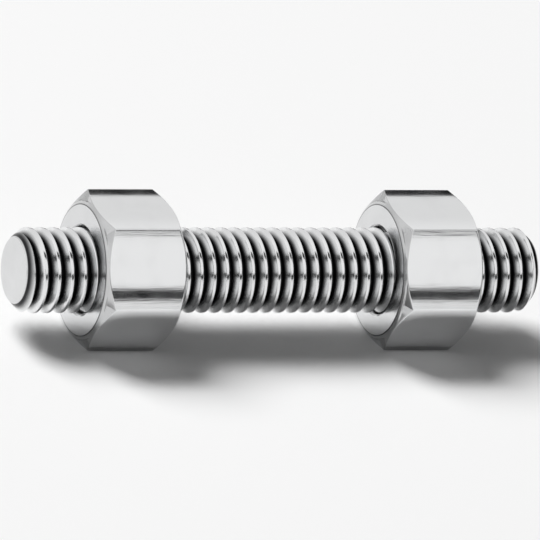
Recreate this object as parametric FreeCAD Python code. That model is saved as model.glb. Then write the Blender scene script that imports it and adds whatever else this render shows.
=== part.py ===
import FreeCAD, Part
import math
import os

# A stud threaded from end to end, with a hexagon nut run on from each end.
# The stud lies along X, its middle is the origin, and each nut has a flat facing down.
# Lengths are in millimetres and angles in degrees.

# Thread, right-hand metric coarse
THREAD_DIAMETER = 5.0
THREAD_PITCH = 0.8
THREAD_ANGLE = 60.0
CREST_SHARE = 1 / 8
CREST_ALLOWANCE = 0.05

# Stud
STUD_LENGTH = 32.0
END_CHAMFER_WIDTH = 0.6
END_CHAMFER_ANGLE = 45.0
FIRST_ROOT = 0.09

# Nuts, sized from the nominal diameter of the thread
SIDES = 6
WALL_AT_FLATS = 1.5
NUT_THICKNESS = 5.0
FACE_SETBACK = 0.25
NUT_CHAMFER_ANGLE = 30.0
BORE_CLEARANCE = 0.02
COUNTERSINK_WIDTH = 0.13
COUNTERSINK_ANGLE = 45.0

# Places of the nuts, as the length of stud that stands out past each
LEFT_STANDOUT = 4.1
RIGHT_STANDOUT = 4.4

# Spare length and radius of shapes that are trimmed afterwards
OVERRUN = 1.0

CREST_RADIUS = THREAD_DIAMETER / 2 - CREST_ALLOWANCE
BORE_RADIUS = THREAD_DIAMETER / 2 + BORE_CLEARANCE
FLAT_RADIUS = THREAD_DIAMETER / 2 + WALL_AT_FLATS
LEFT_END = -STUD_LENGTH / 2
RIGHT_END = STUD_LENGTH / 2


def run(width, angle):
    """The length along the axis of a chamfer of this width, at this angle to the axis."""
    return width / math.tan(math.radians(angle))


def turned(outline):
    """A solid turned about X from an outline of (along the axis, radius) corners."""
    corners = [FreeCAD.Vector(along, 0, radius) for along, radius in outline]
    face = Part.Face(Part.makePolygon(corners + corners[:1]))
    return face.revolve(FreeCAD.Vector(0, 0, 0), FreeCAD.Vector(1, 0, 0), 360)


def thread_outline():
    """One pitch of the thread from root to root, as (along the axis, radius) corners.

    The flanks meet in a sharp root. The crest is the nominal crest turned down by its allowance.
    """
    slope = math.tan(math.radians(THREAD_ANGLE / 2))
    crest_width = CREST_SHARE * THREAD_PITCH + 2 * CREST_ALLOWANCE * slope
    flank_width = (THREAD_PITCH - crest_width) / 2
    root_radius = CREST_RADIUS - flank_width / slope
    return [
        (0, root_radius),
        (flank_width, CREST_RADIUS),
        (flank_width + crest_width, CREST_RADIUS),
        (THREAD_PITCH, root_radius),
    ]


def helix(along, radius):
    """One turn of a right-hand helix about X, which starts straight down from the axis."""
    turn = Part.makeHelix(THREAD_PITCH, THREAD_PITCH, radius).Edges[0]
    turn.rotate(FreeCAD.Vector(0, 0, 0), FreeCAD.Vector(0, 1, 0), 90)
    turn.translate(FreeCAD.Vector(along, 0, 0))
    return turn


def thread_end(along):
    """The two faces that close the thread at one end: a spiral floor and the step beside it."""
    start = FreeCAD.Vector(along, 0, 0)
    stop = FreeCAD.Vector(along + THREAD_PITCH, 0, 0)
    outline = thread_outline()
    floor = Part.makeRuledSurface(Part.makeLine(start, stop), helix(along, outline[0][1]))
    rim = [FreeCAD.Vector(along + place, 0, -radius) for place, radius in outline]
    step = Part.Face(Part.makePolygon([start] + rim + [stop, start]))
    return [floor, step]


def threaded_bar():
    """A bar of whole turns of thread, a little longer than the stud at both ends."""
    spare_turns = math.ceil((OVERRUN + FIRST_ROOT) / THREAD_PITCH)
    start = LEFT_END + FIRST_ROOT - spare_turns * THREAD_PITCH
    turns = math.ceil((RIGHT_END + OVERRUN - start) / THREAD_PITCH)
    faces = thread_end(start) + thread_end(start + turns * THREAD_PITCH)
    for turn in range(turns):
        along = start + turn * THREAD_PITCH
        rails = [helix(along + place, radius) for place, radius in thread_outline()]
        for lower, upper in zip(rails, rails[1:]):
            faces.append(Part.makeRuledSurface(lower, upper))
    shell = Part.makeShell(faces)
    shell.sewShape()
    bar = Part.makeSolid(shell)
    if bar.Volume < 0:
        bar.reverse()
    return bar


def make_stud():
    """The threaded bar cut to length, with its ends chamfered below the thread's root."""
    end_radius = CREST_RADIUS - END_CHAMFER_WIDTH
    outer_radius = CREST_RADIUS + OVERRUN
    chamfer_run = run(outer_radius - end_radius, END_CHAMFER_ANGLE)
    blank = turned(
        [
            (LEFT_END, 0),
            (LEFT_END, end_radius),
            (LEFT_END + chamfer_run, outer_radius),
            (RIGHT_END - chamfer_run, outer_radius),
            (RIGHT_END, end_radius),
            (RIGHT_END, 0),
        ]
    )
    return threaded_bar().common(blank).Solids[0]


def make_nut():
    """A hexagon nut centred on the origin, chamfered on both faces and countersunk at both mouths.

    Its bore is cut to the root of its thread, so that it clears the stud's crests wherever it stands.
    """
    half = NUT_THICKNESS / 2
    corner_radius = FLAT_RADIUS / math.cos(math.pi / SIDES)
    turns = [2 * math.pi * side / SIDES for side in range(SIDES)]
    corners = [
        FreeCAD.Vector(-half, corner_radius * math.cos(turn), corner_radius * math.sin(turn))
        for turn in turns
    ]
    prism = Part.Face(Part.makePolygon(corners + corners[:1])).extrude(
        FreeCAD.Vector(NUT_THICKNESS, 0, 0)
    )

    face_radius = FLAT_RADIUS - FACE_SETBACK
    outer_radius = corner_radius + OVERRUN
    slant = (outer_radius - face_radius) * math.tan(math.radians(NUT_CHAMFER_ANGLE))
    blank = turned(
        [
            (-half, 0),
            (-half, face_radius),
            (-half + slant, outer_radius),
            (half - slant, outer_radius),
            (half, face_radius),
            (half, 0),
        ]
    )

    mouth_radius = BORE_RADIUS + COUNTERSINK_WIDTH
    mouth_run = run(COUNTERSINK_WIDTH, COUNTERSINK_ANGLE)
    bore = turned(
        [
            (-half - OVERRUN, 0),
            (-half - OVERRUN, mouth_radius),
            (-half, mouth_radius),
            (-half + mouth_run, BORE_RADIUS),
            (half - mouth_run, BORE_RADIUS),
            (half, mouth_radius),
            (half + OVERRUN, mouth_radius),
            (half + OVERRUN, 0),
        ]
    )
    return prism.common(blank).cut(bore).Solids[0]


def place_nut(middle):
    """A nut with its middle at this place along the stud."""
    nut = make_nut()
    nut.translate(FreeCAD.Vector(middle, 0, 0))
    return nut


def main():
    """Build the three pieces and write each to its own file."""
    pieces = {
        "stud": make_stud(),
        "left_nut": place_nut(LEFT_END + LEFT_STANDOUT + NUT_THICKNESS / 2),
        "right_nut": place_nut(RIGHT_END - RIGHT_STANDOUT - NUT_THICKNESS / 2),
    }
    os.makedirs("parts", exist_ok=True)
    for name, solid in pieces.items():
        solid.exportStep("parts/%s.step" % name)
        print(name, "valid", solid.isValid(), "volume", round(solid.Volume, 2))


main()
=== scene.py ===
import logging
import math
from collections.abc import Callable
from dataclasses import dataclass
from enum import Enum

import bmesh
import bpy
from mathutils import Matrix, Vector


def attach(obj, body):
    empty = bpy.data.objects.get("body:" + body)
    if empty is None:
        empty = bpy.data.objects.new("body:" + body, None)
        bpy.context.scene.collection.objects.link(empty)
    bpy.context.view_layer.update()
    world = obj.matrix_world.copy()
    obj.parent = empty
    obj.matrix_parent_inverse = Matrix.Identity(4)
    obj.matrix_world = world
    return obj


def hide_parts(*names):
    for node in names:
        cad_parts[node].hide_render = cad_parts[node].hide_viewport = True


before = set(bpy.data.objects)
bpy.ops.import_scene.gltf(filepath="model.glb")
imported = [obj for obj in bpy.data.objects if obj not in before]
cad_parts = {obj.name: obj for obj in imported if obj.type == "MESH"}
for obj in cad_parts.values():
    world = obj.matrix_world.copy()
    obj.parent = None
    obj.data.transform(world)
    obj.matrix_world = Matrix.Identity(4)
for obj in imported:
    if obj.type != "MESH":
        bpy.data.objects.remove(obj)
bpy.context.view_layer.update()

# The looks of a stud threaded from end to end, with a hexagon nut near each end.
# Sizes are in millimetres until a mesh is finished, and angles are in degrees.

MM = 0.001
SHARP = math.radians(42)
SIDES = 6
HALF_SIDE = math.pi / SIDES

# How far past a round its outline gets one more point, as a share of the round's reach
PAST_ROUND = 1.8

# How near points have to be to a cut, or to each other, to count as one
ON_CUT = 1e-5
WELD = 0.0005

Point = tuple[float, float]
Rim = list[bmesh.types.BMEdge]
log = logging.getLogger("stud")


class Slot(Enum):
    """Material slot names for the stud and the nuts."""

    STUD = "stud_steel"
    NUT = "nut_steel"


def between(start: Point, stop: Point, share: float) -> Point:
    """The point at this share of the way from start to stop."""
    return (start[0] + (stop[0] - start[0]) * share, start[1] + (stop[1] - start[1]) * share)


def towards(start: Point, stop: Point, distance: float) -> Point:
    """The point at this distance from start on the way to stop."""
    return between(start, stop, distance / math.dist(start, stop))


def rounded(corners: list[Point], reach: float, steps: int) -> list[Point]:
    """Rounds the inner corners of an open outline.

    Args:
        corners: the outline as (along the axis, radius) points.
        reach: how far from its corner each round starts and stops.
        steps: how many straight steps make a round.

    Returns:
        The rounded outline, with one more point beyond each end of a round, so that flats shade flat.
    """
    points = [corners[0]]
    for before, corner, after in zip(corners, corners[1:], corners[2:]):
        start = towards(corner, before, reach)
        stop = towards(corner, after, reach)
        points.append(towards(corner, before, PAST_ROUND * reach))
        for step in range(steps + 1):
            share = step / steps
            near = between(start, corner, share)
            points.append(between(near, between(corner, stop, share), share))
        points.append(towards(corner, after, PAST_ROUND * reach))
    return points + [corners[-1]]


def divided(points: list[Point], longest: float) -> list[Point]:
    """The same outline with its long runs divided.

    Args:
        points: the outline.
        longest: the longest run that is left whole.

    Returns:
        The outline with more points on its long runs.
    """
    result = [points[0]]
    for start, stop in zip(points, points[1:]):
        parts = max(1, math.ceil(math.dist(start, stop) / longest))
        result += [between(start, stop, number / parts) for number in range(1, parts + 1)]
    return result


def corners_in(parts: list) -> list[bmesh.types.BMVert]:
    """The vertices among some geometry."""
    return [part for part in parts if isinstance(part, bmesh.types.BMVert)]


def everything(mesh: bmesh.types.BMesh) -> list:
    """All the geometry of a mesh."""
    return mesh.verts[:] + mesh.edges[:] + mesh.faces[:]


def drawn_out(mesh: bmesh.types.BMesh, rim: Rim, placed: Callable[[float], Point]) -> Rim:
    """Extrudes a rim about the X axis by one row of faces.

    Args:
        mesh: the mesh that the rim is in.
        rim: the edges to extrude.
        placed: gives the new (along the axis, radius) place for a turn about the axis.

    Returns:
        The edges of the new rim.
    """
    old = {vert for edge in rim for vert in edge.verts}
    made = bmesh.ops.extrude_edge_only(mesh, edges=rim)["geom"]
    fresh = dict.fromkeys(vert for vert in corners_in(made) if vert not in old)
    for vert in fresh:
        turn = math.atan2(vert.co.z, vert.co.y)
        along, radius = placed(turn)
        vert.co = (along, radius * math.cos(turn), radius * math.sin(turn))
    edges = dict.fromkeys(edge for vert in fresh for edge in vert.link_edges)
    return [edge for edge in edges if edge.verts[0] in fresh and edge.verts[1] in fresh]


def trimmed(mesh: bmesh.types.BMesh, place: float, side: int) -> Rim:
    """Cuts a mesh off square to the axis.

    Args:
        mesh: the mesh to cut.
        place: where along the axis it is cut.
        side: 1 to drop what is past the cut, -1 to drop what is before it.

    Returns:
        The edges of the cut.
    """
    cut = bmesh.ops.bisect_plane(
        mesh,
        geom=everything(mesh),
        dist=ON_CUT,
        plane_co=(place, 0, 0),
        plane_no=(side, 0, 0),
        clear_outer=True,
    )
    return [part for part in cut["geom_cut"] if isinstance(part, bmesh.types.BMEdge)]


def finished(
    mesh: bmesh.types.BMesh, name: str, material: bpy.types.Material, node: str
) -> bpy.types.Object:
    """Makes a closed mesh into the piece that stands for a CAD node.

    Args:
        mesh: the mesh in millimetres, which is freed.
        name: the piece's name.
        material: its finish.
        node: the CAD node that it replaces, whose body has the same name.

    Returns:
        The new object.
    """
    bmesh.ops.scale(mesh, vec=(MM, MM, MM), verts=mesh.verts[:])
    bmesh.ops.recalc_face_normals(mesh, faces=mesh.faces[:])
    for face in mesh.faces:
        face.smooth = True
    for edge in mesh.edges:
        edge.smooth = edge.calc_face_angle(math.pi) < SHARP
    data = bpy.data.meshes.new(name)
    mesh.to_mesh(data)
    mesh.free()
    data.materials.append(material)
    piece = bpy.data.objects.new(name, data)
    bpy.context.scene.collection.objects.link(piece)
    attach(piece, node)
    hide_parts(node)
    log.info("%s: %d faces", name, len(data.polygons))
    return piece


class Value:
    """A number in a material, so that shader maths is written as plain sums."""

    def __init__(self, graph: "Graph", socket: bpy.types.NodeSocket) -> None:
        """Wraps an output socket of this graph."""
        self.graph = graph
        self.socket = socket

    def _sum(self, operation: str, *terms: "Value | float") -> "Value":
        """One Math node with these terms."""
        node = self.graph.node("ShaderNodeMath", {"operation": operation}, dict(enumerate(terms)))
        return Value(self.graph, node.outputs[0])

    def __add__(self, other: "Value | float") -> "Value":
        """Self plus other."""
        return self._sum("ADD", self, other)

    def __radd__(self, other: float) -> "Value":
        """Other plus self."""
        return self._sum("ADD", other, self)

    def __sub__(self, other: "Value | float") -> "Value":
        """Self less other."""
        return self._sum("SUBTRACT", self, other)

    def __rsub__(self, other: float) -> "Value":
        """Other less self."""
        return self._sum("SUBTRACT", other, self)

    def __mul__(self, other: "Value | float") -> "Value":
        """Self times other."""
        return self._sum("MULTIPLY", self, other)

    def __rmul__(self, other: float) -> "Value":
        """Other times self."""
        return self._sum("MULTIPLY", other, self)

    def __truediv__(self, other: "Value | float") -> "Value":
        """Self over other."""
        return self._sum("DIVIDE", self, other)

    def fraction(self) -> "Value":
        """What is past the last whole number."""
        return self._sum("FRACT", self)

    def tangent(self) -> "Value":
        """The tangent of self in radians."""
        return self._sum("TANGENT", self)

    def at_least(self, other: float) -> "Value":
        """Self, or other where that is more."""
        return self._sum("MAXIMUM", self, other)

    def turn(self, other: "Value") -> "Value":
        """The angle in radians whose tangent is self over other."""
        return self._sum("ARCTAN2", self, other)

    def __pow__(self, other: float) -> "Value":
        """Self to the power of other."""
        return self._sum("POWER", self, other)

    def __abs__(self) -> "Value":
        """Self without its sign."""
        return self._sum("ABSOLUTE", self)

    def ramp(self, low: float, high: float) -> "Value":
        """A smooth rise from 0 at low to 1 at high, or a fall where low is above high."""
        settings = {"interpolation_type": "SMOOTHSTEP"}
        sockets = {"Value": self, "From Min": low, "From Max": high}
        return Value(self.graph, self.graph.node("ShaderNodeMapRange", settings, sockets).outputs[0])

    def within(self, low: float, high: float, blur: float) -> "Value":
        """1 between low and high and 0 outside, with both edges this soft."""
        return self.ramp(low - blur, low + blur) * self.ramp(high + blur, high - blur)


class Graph:
    """The nodes of one material or world."""

    def __init__(self, tree: bpy.types.NodeTree) -> None:
        """Starts from an empty tree."""
        self.tree = tree
        tree.nodes.clear()

    def node(
        self, kind: str, settings: dict | None = None, sockets: dict | None = None
    ) -> bpy.types.Node:
        """Adds a node.

        Args:
            kind: the node's type.
            settings: its properties, which are set first.
            sockets: values, or sockets to link, by input name or number.

        Returns:
            The new node.
        """
        made = self.tree.nodes.new(kind)
        for name, setting in (settings or {}).items():
            setattr(made, name, setting)
        for name, given in (sockets or {}).items():
            if isinstance(given, Value):
                given = given.socket
            if isinstance(given, bpy.types.NodeSocket):
                self.tree.links.new(given, made.inputs[name])
            else:
                made.inputs[name].default_value = given
        return made

    def axes(self) -> tuple[Value, Value, Value]:
        """The object coordinates along X, Y and Z, in millimetres."""
        place = self.node("ShaderNodeTexCoord").outputs["Object"]
        split = self.node("ShaderNodeSeparateXYZ", None, {0: place})
        return tuple(Value(self, split.outputs[number]) * (1 / MM) for number in range(3))

    def vector(self, x: Value | float, y: Value | float, z: Value | float) -> bpy.types.NodeSocket:
        """A vector of three numbers."""
        return self.node("ShaderNodeCombineXYZ", None, {0: x, 1: y, 2: z}).outputs[0]

    def noise(self, place: bpy.types.NodeSocket, scale: float, detail: float = 2.0) -> Value:
        """Smooth noise from 0 to 1 at this place."""
        sockets = {"Vector": place, "Scale": scale, "Detail": detail}
        return Value(self, self.node("ShaderNodeTexNoise", None, sockets).outputs[0])

    def mixed(
        self, share: Value, low: "Tone | bpy.types.NodeSocket", high: "Tone | bpy.types.NodeSocket"
    ) -> bpy.types.NodeSocket:
        """Mixes two colours.

        Args:
            share: 0 for the low colour and 1 for the high one.
            low: a tone, or the socket of a colour.
            high: the same.

        Returns:
            The socket of the mixed colour.
        """
        ends = [end.rgba if isinstance(end, Tone) else end for end in (low, high)]
        colour_a, colour_b, colour_result = 6, 7, 2
        sockets = {0: share, colour_a: ends[0], colour_b: ends[1]}
        return self.node("ShaderNodeMix", {"data_type": "RGBA"}, sockets).outputs[colour_result]


@dataclass(frozen=True)
class Tone:
    """A plain colour."""

    red: float
    green: float
    blue: float

    @property
    def rgba(self) -> tuple[float, float, float, float]:
        """The colour with an alpha of 1."""
        return (self.red, self.green, self.blue, 1.0)


@dataclass(frozen=True)
class BrightSteel:
    """Machined steel: bright on open surfaces, with painted shade that darkens its colour in
    sheltered corners.
    """

    name: str
    bright: Tone = Tone(0.83, 0.835, 0.84)
    # The dark tone that painted shade, the darker faces and the cloud mix towards.
    shade_and_dull_tone: Tone = Tone(0.03, 0.03, 0.032)
    face_dullness: float = 0.13
    cloud_dullness: float = 0.12
    polish: float = 0.07
    cloud_rough: float = 0.1
    shelter_rough: float = 0.16
    mark_rough: float = 0.05
    mark_depth: float = 0.0035
    mark_detail: float = 3.0

    def dressed(
        self, graph: Graph, painted_shade_and_face_dullness: Value, marks: Value, cloud: Value, crown: Value | float = 0.0
    ) -> None:
        """Wires the shader.

        Args:
            graph: the material's nodes.
            painted_shade_and_face_dullness: painted shade, 0 on open surfaces and 1 in the deepest
                corners, plus the darker faces.
            marks: the height of the tool marks, from 0 to 1.
            cloud: slow change over the surface, from 0 to 1.
            crown: how far a flat falls away towards its edges, in millimetres.
        """
        # Painted shade: the colour goes from the bright tone to the dark tone where the shade mask is
        # high.
        painted_shade_and_dullness = painted_shade_and_face_dullness + (cloud - 0.5) * self.cloud_dullness
        colour = graph.mixed(painted_shade_and_dullness, self.bright, self.shade_and_dull_tone)
        rough = self.polish + self.cloud_rough * cloud + self.shelter_rough * painted_shade_and_face_dullness
        rough = rough + self.mark_rough * marks
        height = marks * self.mark_depth - crown
        bump = graph.node("ShaderNodeBump", None, {"Strength": 1.0, "Distance": MM, "Height": height})
        shader = graph.node(
            "ShaderNodeBsdfPrincipled",
            None,
            {"Base Color": colour, "Metallic": 1.0, "Roughness": rough, "Normal": bump.outputs[0]},
        )
        graph.node("ShaderNodeOutputMaterial", None, {0: shader.outputs[0]})


@dataclass(frozen=True)
class CutThreadSteel(BrightSteel):
    """Bright steel with a cut thread: bright crests, painted shade that darkens the roots, and lines
    along the cut.
    """

    crest_radius: float = 2.45
    root_radius: float = 1.9
    groove_margin: float = 0.1
    end_place: Point = (15.9, 15.95)
    lines_along: float = 0.4
    lines_across: float = 30.0
    line_share: float = 0.7
    speck_scale: float = 9.0
    cloud_scale: float = 0.9

    def material(self) -> bpy.types.Material:
        """The finish as a material."""
        made = bpy.data.materials.new(self.name)
        made.use_nodes = True
        graph = Graph(made.node_tree)
        x, y, z = graph.axes()
        radius = (y * y + z * z) ** 0.5
        on_end = abs(x).ramp(*self.end_place)
        # Painted shade: darker from the crests down to the roots of the thread, where shade falls
        # between the turns.
        groove = radius.ramp(
            self.crest_radius - self.groove_margin, self.root_radius + self.groove_margin
        )
        painted_shade_and_face_dullness = groove * (1 - on_end) + self.face_dullness * on_end
        along_cut = graph.vector(x * self.lines_along, radius * self.lines_across, 0.0)
        lines = graph.noise(along_cut, 1.0, self.mark_detail)
        specks = graph.noise(graph.vector(x, y, z), self.speck_scale, self.mark_detail)
        marks = self.line_share * lines + (1 - self.line_share) * specks
        cloud = graph.noise(graph.vector(x, y, z), self.cloud_scale)
        self.dressed(graph, painted_shade_and_face_dullness, marks, cloud)
        return made


@dataclass(frozen=True)
class NutSteel(BrightSteel):
    """Bright steel of a nut: brushed flats, turned chamfers and faces, painted shade in the bore and
    on the chamfer cones, and a painted dark line round each face.

    The flats fall away a little towards the corners, as they do on a drawn bar that was polished.
    """

    middle: float = 0.0
    half: float = 2.5
    bore_radius: float = 2.45
    bore_margin: float = 0.2
    # Painted shade in the bore, as a share of the dark tone.
    bore_shade: float = 0.9
    face_radius: float = 3.75
    face_depth: Point = (0.06, 0.02)
    rim_reach: Point = (-0.02, 0.03)
    rim_blur: float = 0.015
    # Painted shade along a thin line round each face.
    rim_line_shade: float = 0.75
    chamfer_angle: float = 30.0
    cone_depth: Point = (0.03, 0.01)
    cone_margin: float = 0.04
    # Painted shade on the chamfer cones.
    cone_shade: float = 0.3
    flat_radius: float = 4.0
    flat_depth: Point = (0.1, 0.16)
    crown_start: float = 0.48
    crown_steady: float = 1.98
    crown_curve: float = 0.09
    rings_across: float = 14.0
    brush_along: float = 0.5
    brush_across: float = 7.0
    brush_detail: float = 4.0
    cloud_scale: float = 0.7

    def crown(self, turn: Value) -> Value:
        """How far the flats fall away towards the corners, by the turn about the axis in radians."""
        off_middle = abs((turn / (2 * HALF_SIDE) + SIDES).fraction() - 0.5) * (2 * HALF_SIDE)
        across = off_middle.tangent() * self.flat_radius
        beyond = (across - self.crown_start).at_least(0.0)
        steady = (across - self.crown_steady).at_least(0.0)
        return (beyond * beyond - steady * steady) * self.crown_curve

    def material(self) -> bpy.types.Material:
        """The finish as a material."""
        made = bpy.data.materials.new(self.name)
        made.use_nodes = True
        graph = Graph(made.node_tree)
        x, y, z = graph.axes()
        radius = (y * y + z * z) ** 0.5
        depth = self.half - abs(x - self.middle)
        on_flat = depth.ramp(*self.flat_depth)
        on_face = depth.ramp(*self.face_depth)
        slope = math.tan(math.radians(self.chamfer_angle))
        below_cone = depth - (radius - self.face_radius).at_least(0.0) * slope
        past_face = radius.ramp(self.face_radius, self.face_radius + self.cone_margin)
        on_cone = below_cone.ramp(*self.cone_depth) * past_face
        # Painted shade: the colour darkens inside the bore.
        in_bore = radius.ramp(self.bore_radius + self.bore_margin, self.bore_radius)
        # Painted shade: a thin dark line round each face, where it meets the chamfer.
        rim_inner, rim_outer = (self.face_radius + reach for reach in self.rim_reach)
        rim = radius.within(rim_inner, rim_outer, self.rim_blur) * on_face
        turned = graph.vector(radius * self.rings_across, depth * self.rings_across, 0.0)
        rings = graph.noise(turned, 1.0)
        along_bar = graph.vector(
            x * self.brush_along, y * self.brush_across, z * self.brush_across
        )
        brushed = graph.noise(along_bar, 1.0, self.brush_detail)
        marks = rings * on_face + brushed * (1 - on_face)
        cloud = graph.noise(graph.vector(x, y, z), self.cloud_scale)
        # Painted shade: the bore, the chamfer cones and the thin line round each face are darkened in
        # colour; the darker faces are added after.
        painted_shade_and_face_dullness = in_bore * self.bore_shade + on_cone * self.cone_shade
        painted_shade_and_face_dullness = painted_shade_and_face_dullness + rim * self.rim_line_shade + on_face * self.face_dullness
        self.dressed(graph, painted_shade_and_face_dullness, marks, cloud, self.crown(z.turn(y)) * on_flat)
        return made


@dataclass(frozen=True)
class Thread:
    """The right-hand thread that the stud and both nuts share."""

    pitch: float = 0.8
    first_root: float = -15.91
    crest_radius: float = 2.45
    root_radius: float = 1.894
    crest_width: float = 0.158
    stud_round: float = 0.035
    stud_round_steps: int = 4
    stud_longest: float = 0.085
    nut_root_radius: float = 2.52
    nut_crest_radius: float = 2.07
    nut_gap: float = 0.015
    nut_round: float = 0.02
    nut_round_steps: int = 3
    nut_longest: float = 0.12
    columns: int = 68

    def stud_outline(self) -> list[Point]:
        """One pitch of the stud's thread, from root to root."""
        flank = (self.pitch - self.crest_width) / 2
        corners = [
            (-flank, self.crest_radius),
            (0.0, self.root_radius),
            (flank, self.crest_radius),
            (flank + self.crest_width, self.crest_radius),
            (self.pitch, self.root_radius),
            (self.pitch + flank, self.crest_radius),
        ]
        points = divided(rounded(corners, self.stud_round, self.stud_round_steps), self.stud_longest)
        spare = 1e-6
        return [point for point in points if -spare < point[0] < self.pitch + spare]

    def nut_outline(self) -> list[Point]:
        """One pitch of a nut's thread, from the middle of one groove to the next."""
        slope = (self.pitch - self.crest_width) / 2 / (self.crest_radius - self.root_radius)
        crest = (self.nut_crest_radius - self.root_radius) * slope - self.nut_gap
        foot = (self.nut_root_radius - self.root_radius) * slope - self.nut_gap
        corners = [
            (-self.pitch / 2, self.nut_root_radius),
            (-foot, self.nut_root_radius),
            (-crest, self.nut_crest_radius),
            (crest, self.nut_crest_radius),
            (foot, self.nut_root_radius),
            (self.pitch / 2, self.nut_root_radius),
        ]
        return divided(rounded(corners, self.nut_round, self.nut_round_steps), self.nut_longest)

    def wound(self, outline: list[Point], low: float, high: float) -> bmesh.types.BMesh:
        """Winds an outline about the axis into a thread that is a little longer than asked.

        Args:
            outline: one pitch of the thread.
            low: a place along the axis that the thread starts before.
            high: a place along the axis that it ends after.

        Returns:
            The open thread.
        """
        mesh = bmesh.new()
        first = math.floor((low - self.first_root) / self.pitch) - 1
        last = math.ceil((high - self.first_root) / self.pitch) + 1
        start = self.first_root + first * self.pitch
        verts = [mesh.verts.new((start + along, 0, -radius)) for along, radius in outline]
        edges = [mesh.edges.new(pair) for pair in zip(verts, verts[1:])]
        bmesh.ops.spin(
            mesh,
            geom=verts + edges,
            cent=(0, 0, 0),
            axis=(1, 0, 0),
            dvec=(self.pitch / self.columns, 0, 0),
            angle=2 * math.pi,
            steps=self.columns,
            use_merge=False,
            use_duplicate=False,
        )
        turn = everything(mesh)
        for number in range(1, last - first):
            copied = corners_in(bmesh.ops.duplicate(mesh, geom=turn)["geom"])
            bmesh.ops.translate(mesh, vec=(number * self.pitch, 0, 0), verts=copied)
        bmesh.ops.remove_doubles(mesh, verts=mesh.verts[:], dist=WELD)
        return mesh


@dataclass(frozen=True)
class Stud:
    """The stud, threaded from end to end, with chamfered ends."""

    thread: Thread
    half_length: float = 16.0
    end_radius: float = 1.85
    cap_depth: float = 0.03
    edge_round: float = 0.012
    edge_steps: int = 3

    def chamfer(self, mesh: bmesh.types.BMesh) -> None:
        """Turns the crests down to a cone at both ends."""
        for vert in mesh.verts:
            limit = self.end_radius + max(0.0, self.half_length - abs(vert.co.x))
            radius = math.hypot(vert.co.y, vert.co.z)
            if radius > limit:
                vert.co.y *= limit / radius
                vert.co.z *= limit / radius

    def close(self, mesh: bmesh.types.BMesh, side: int) -> None:
        """Finishes one end with the last of its chamfer, a small round and the end face.

        Args:
            mesh: the stud's mesh.
            side: -1 for the left end and 1 for the right end.
        """
        rim = trimmed(mesh, side * (self.half_length - self.cap_depth), side)
        corners = [
            (self.cap_depth, self.end_radius + self.cap_depth),
            (0.0, self.end_radius),
            (0.0, self.end_radius / 2),
        ]
        for depth, radius in rounded(corners, self.edge_round, self.edge_steps)[1:]:
            place = (side * (self.half_length - depth), radius)
            rim = drawn_out(mesh, rim, lambda turn, place=place: place)
        bmesh.ops.contextual_create(mesh, geom=rim)

    def build(self) -> bpy.types.Object:
        """The stud as a piece."""
        mesh = self.thread.wound(self.thread.stud_outline(), -self.half_length, self.half_length)
        self.chamfer(mesh)
        for side in (-1, 1):
            self.close(mesh, side)
        finish = CutThreadSteel("cut_thread_steel").material()
        return finished(mesh, "threaded_stud", finish, "stud")


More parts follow.
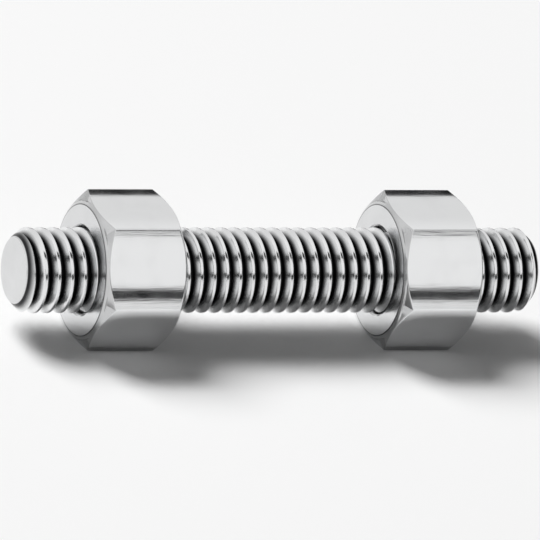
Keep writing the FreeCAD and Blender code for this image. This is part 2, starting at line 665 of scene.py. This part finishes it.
@dataclass(frozen=True)
class Nut:
    """A hexagon nut with both faces chamfered, threaded and countersunk."""

    thread: Thread
    node: str
    middle: float
    half: float = 2.5
    flat_radius: float = 4.0
    face_radius: float = 3.75
    chamfer_angle: float = 30.0
    corner_round: float = 0.12
    edge_reach: float = 0.05
    edge_steps: int = 4
    mouth_radius: float = 2.65
    land_radius: float = 2.8
    columns: int = 288
    crowding: float = 0.86

    def wall_radius(self, turn: float) -> float:
        """The radius of the hexagon, with rounded corners, at a turn about the axis."""
        off_corner = abs((turn + HALF_SIDE) % (2 * HALF_SIDE) - HALF_SIDE)
        centre = (self.flat_radius - self.corner_round) / math.cos(HALF_SIDE)
        reach = math.atan2(
            self.corner_round * math.sin(HALF_SIDE), centre + self.corner_round * math.cos(HALF_SIDE)
        )
        if off_corner > reach:
            return self.flat_radius / math.cos(HALF_SIDE - off_corner)
        across = centre * math.sin(off_corner)
        return centre * math.cos(off_corner) + math.sqrt(self.corner_round**2 - across**2)

    def outline(self, turn: float) -> list[Point]:
        """The outside of the nut at a turn about the axis, from one face to the other."""
        wall = self.wall_radius(turn)
        slant = (wall - self.face_radius) * math.tan(math.radians(self.chamfer_angle))
        corners = [
            (-self.half, self.land_radius),
            (-self.half, self.face_radius),
            (-self.half + slant, wall),
            (self.half - slant, wall),
            (self.half, self.face_radius),
            (self.half, self.land_radius),
        ]
        return rounded(corners, self.edge_reach, self.edge_steps)

    def countersink(self, mesh: bmesh.types.BMesh) -> None:
        """Opens the thread to a cone at both mouths."""
        for vert in mesh.verts:
            limit = self.mouth_radius - self.half + abs(vert.co.x - self.middle)
            radius = math.hypot(vert.co.y, vert.co.z)
            if radius < limit:
                vert.co.y *= limit / radius
                vert.co.z *= limit / radius

    def outside(self, mesh: bmesh.types.BMesh) -> tuple[Rim, Rim]:
        """Draws the faces, chamfers and flats out of a ring on the left face.

        Args:
            mesh: the nut's mesh.

        Returns:
            The inner rims of the left and the right face.
        """
        ring = bmesh.ops.create_circle(
            mesh,
            cap_ends=False,
            radius=self.land_radius,
            segments=self.columns,
            matrix=Matrix.Rotation(math.pi / 2, 4, "Y"),
        )["verts"]
        for vert in ring:
            even = math.atan2(vert.co.z, vert.co.y)
            turn = even - self.crowding * math.sin(SIDES * even) / SIDES
            vert.co = (
                self.middle - self.half,
                self.land_radius * math.cos(turn),
                self.land_radius * math.sin(turn),
            )
        left = list(dict.fromkeys(edge for vert in ring for edge in vert.link_edges))
        rim = left
        for row in range(1, len(self.outline(0.0))):
            rim = drawn_out(mesh, rim, lambda turn, row=row: self.placed(turn, row))
        return left, rim

    def placed(self, turn: float, row: int) -> Point:
        """The place of one row of the outside at a turn about the axis."""
        along, radius = self.outline(turn)[row]
        return (self.middle + along, radius)

    def build(self) -> bpy.types.Object:
        """The nut as a piece."""
        low, high = self.middle - self.half, self.middle + self.half
        mesh = self.thread.wound(self.thread.nut_outline(), low, high)
        self.countersink(mesh)
        bores = [trimmed(mesh, low, -1), trimmed(mesh, high, 1)]
        for bore, rim, side in zip(bores, self.outside(mesh), (-1, 1)):
            bmesh.ops.triangle_fill(
                mesh, use_beauty=True, use_dissolve=False, edges=bore + rim, normal=(side, 0, 0)
            )
        finish = NutSteel(self.node + "_steel", middle=self.middle, half=self.half).material()
        return finished(mesh, self.node.replace("nut", "hexagon_nut"), finish, self.node)


@dataclass(frozen=True)
class SoftBox:
    """A large soft lamp that points at the object."""

    name: str
    direction: tuple[float, float, float]
    distance: float
    width: float
    power: float

    def build(self) -> bpy.types.Object:
        """The lamp as an object."""
        lamp = bpy.data.lights.new(self.name, "AREA")
        lamp.shape = "SQUARE"
        lamp.size = self.width
        lamp.energy = self.power
        made = bpy.data.objects.new(self.name, lamp)
        back = Vector(self.direction).normalized()
        made.location = back * self.distance
        made.rotation_euler = back.to_track_quat("Z", "Y").to_euler()
        made.visible_camera = False
        made.visible_glossy = False
        bpy.context.scene.collection.objects.link(made)
        return made


@dataclass(frozen=True)
class Studio:
    """A pale floor, a pale soft surround and one large lamp.

    What the camera and the steel see of the surround is pale, with dark bands at the right and in
    front that draw dark lines along edges. What lights the floor is darker and softer.
    Each pair of numbers says where along a direction's axis a change starts and ends.
    """

    floor_level: float = -4.002
    floor_radius: float = 4.0
    floor_sides: int = 96
    floor_tone: Tone = Tone(0.93, 0.93, 0.93)
    floor_rough: float = 0.9
    floor_gloss: float = 0.1
    low_tone: Tone = Tone(0.015, 0.015, 0.016)
    high_tone: Tone = Tone(0.95, 0.95, 0.95)
    soft_low_tone: Tone = Tone(0.02, 0.02, 0.02)
    soft_high_tone: Tone = Tone(0.25, 0.25, 0.25)
    front_band: Point = (0.065, 0.285)
    back_band: Point = (-0.1, 0.12)
    overhead_band: Point = (-0.44, -0.18)
    band_blur: float = 0.02
    front_side: Point = (0.1, -0.1)
    overhead_side: Point = (0.5, 0.6)
    beside: Point = (-0.05, 0.3)
    ahead: Point = (-0.3, -0.6)
    behind: Point = (0.2, 0.8)
    back_dim: float = 0.15
    soft_rise: Point = (0.0, 0.8)
    soft_back: Point = (-0.5, 0.3)
    front_share: float = 0.3
    key_box: SoftBox = SoftBox("key_box", (-0.42, 0.43, 0.85), 2.0, 1.0, 44.4)

    def floor(self) -> None:
        """Lays the floor."""
        mesh = bmesh.new()
        bmesh.ops.create_circle(
            mesh, cap_ends=True, radius=self.floor_radius, segments=self.floor_sides
        )
        bmesh.ops.translate(mesh, vec=(0, 0, self.floor_level * MM), verts=mesh.verts[:])
        data = bpy.data.meshes.new("floor")
        mesh.to_mesh(data)
        mesh.free()
        paint = bpy.data.materials.new("pale_floor")
        paint.use_nodes = True
        graph = Graph(paint.node_tree)
        sockets = {
            "Base Color": self.floor_tone.rgba,
            "Roughness": self.floor_rough,
            "Specular IOR Level": self.floor_gloss,
        }
        shader = graph.node("ShaderNodeBsdfPrincipled", None, sockets)
        graph.node("ShaderNodeOutputMaterial", None, {0: shader.outputs[0]})
        data.materials.append(paint)
        made = bpy.data.objects.new("floor", data)
        bpy.context.scene.collection.objects.link(made)

    def surround(self) -> None:
        """Makes the world a soft surround."""
        world = bpy.data.worlds.new("surround")
        world.use_nodes = True
        graph = Graph(world.node_tree)
        place = graph.node("ShaderNodeTexCoord").outputs["Generated"]
        split = graph.node("ShaderNodeSeparateXYZ", None, {0: place})
        right = Value(graph, split.outputs[0])
        back = Value(graph, split.outputs[1])
        up = Value(graph, split.outputs[2])
        in_front = back.ramp(*self.front_side)
        low_bands = up.within(*self.front_band, self.band_blur) * in_front
        low_bands = low_bands + up.within(*self.back_band, self.band_blur) * (1 - in_front)
        overhead = back.within(*self.overhead_band, self.band_blur) * up.ramp(*self.overhead_side)
        beside, ahead = right.ramp(*self.beside), back.ramp(*self.ahead)
        dark = (low_bands + overhead) * (beside + ahead - beside * ahead)
        share = (1 - dark) * (1 - self.back_dim * back.ramp(*self.behind))
        backdrop = graph.mixed(share, self.low_tone, self.high_tone)
        from_back = self.front_share + (1 - self.front_share) * back.ramp(*self.soft_back)
        soft_share = up.ramp(*self.soft_rise) * from_back
        soft = graph.mixed(soft_share, self.soft_low_tone, self.soft_high_tone)
        path = graph.node("ShaderNodeLightPath").outputs
        seen = Value(graph, path["Is Camera Ray"]) + Value(graph, path["Is Glossy Ray"])
        seen = seen + Value(graph, path["Is Transmission Ray"])
        colour = graph.mixed(seen, soft, backdrop)
        light = graph.node("ShaderNodeBackground", None, {"Color": colour, "Strength": 1.0})
        graph.node("ShaderNodeOutputWorld", None, {0: light.outputs[0]})
        bpy.context.scene.world = world

    def build(self) -> None:
        """Sets up the floor, the surround and the lamp."""
        self.floor()
        self.surround()
        self.key_box.build()
        log.info("studio: floor, surround and lamp")


@dataclass(frozen=True)
class Viewpoint:
    """The picture's view: the axis level in it, a corner of each nut up and the left end nearer."""

    turn: float = 24.0
    lift: float = 30.0
    distance: float = 800.0
    span: float = 30.857
    aim: float = -0.08
    sensor: float = 36.0
    nearest: float = 0.01
    farthest: float = 20.0

    def build(self) -> None:
        """Makes the scene's camera."""
        turn, lift = math.radians(self.turn), math.radians(self.lift)
        back = Vector(
            (-math.sin(turn), -math.cos(turn) * math.cos(lift), math.cos(turn) * math.sin(lift))
        )
        up = Vector((0, math.sin(lift), math.cos(lift)))
        across = up.cross(back)
        lens = bpy.data.cameras.new("camera")
        lens.sensor_width = self.sensor
        lens.lens = self.sensor * self.distance / self.span
        lens.clip_start = self.nearest
        lens.clip_end = self.farthest
        made = bpy.data.objects.new("camera", lens)
        made.matrix_world = Matrix.Translation(
            (back * self.distance + Vector((self.aim, 0, 0))) * MM
        ) @ Matrix((across, up, back)).transposed().to_4x4()
        bpy.context.scene.collection.objects.link(made)
        bpy.context.scene.camera = made


def main() -> None:
    """Builds the camera, the stud, the nuts and the studio."""
    logging.basicConfig(level=logging.INFO, format="%(message)s")
    bpy.context.scene.view_settings.view_transform = "Standard"
    Viewpoint().build()
    thread = Thread()
    Stud(thread).build()
    Nut(thread, "left_nut", -9.4).build()
    Nut(thread, "right_nut", 9.1).build()
    Studio().build()


if __name__ == "__main__":
    main()
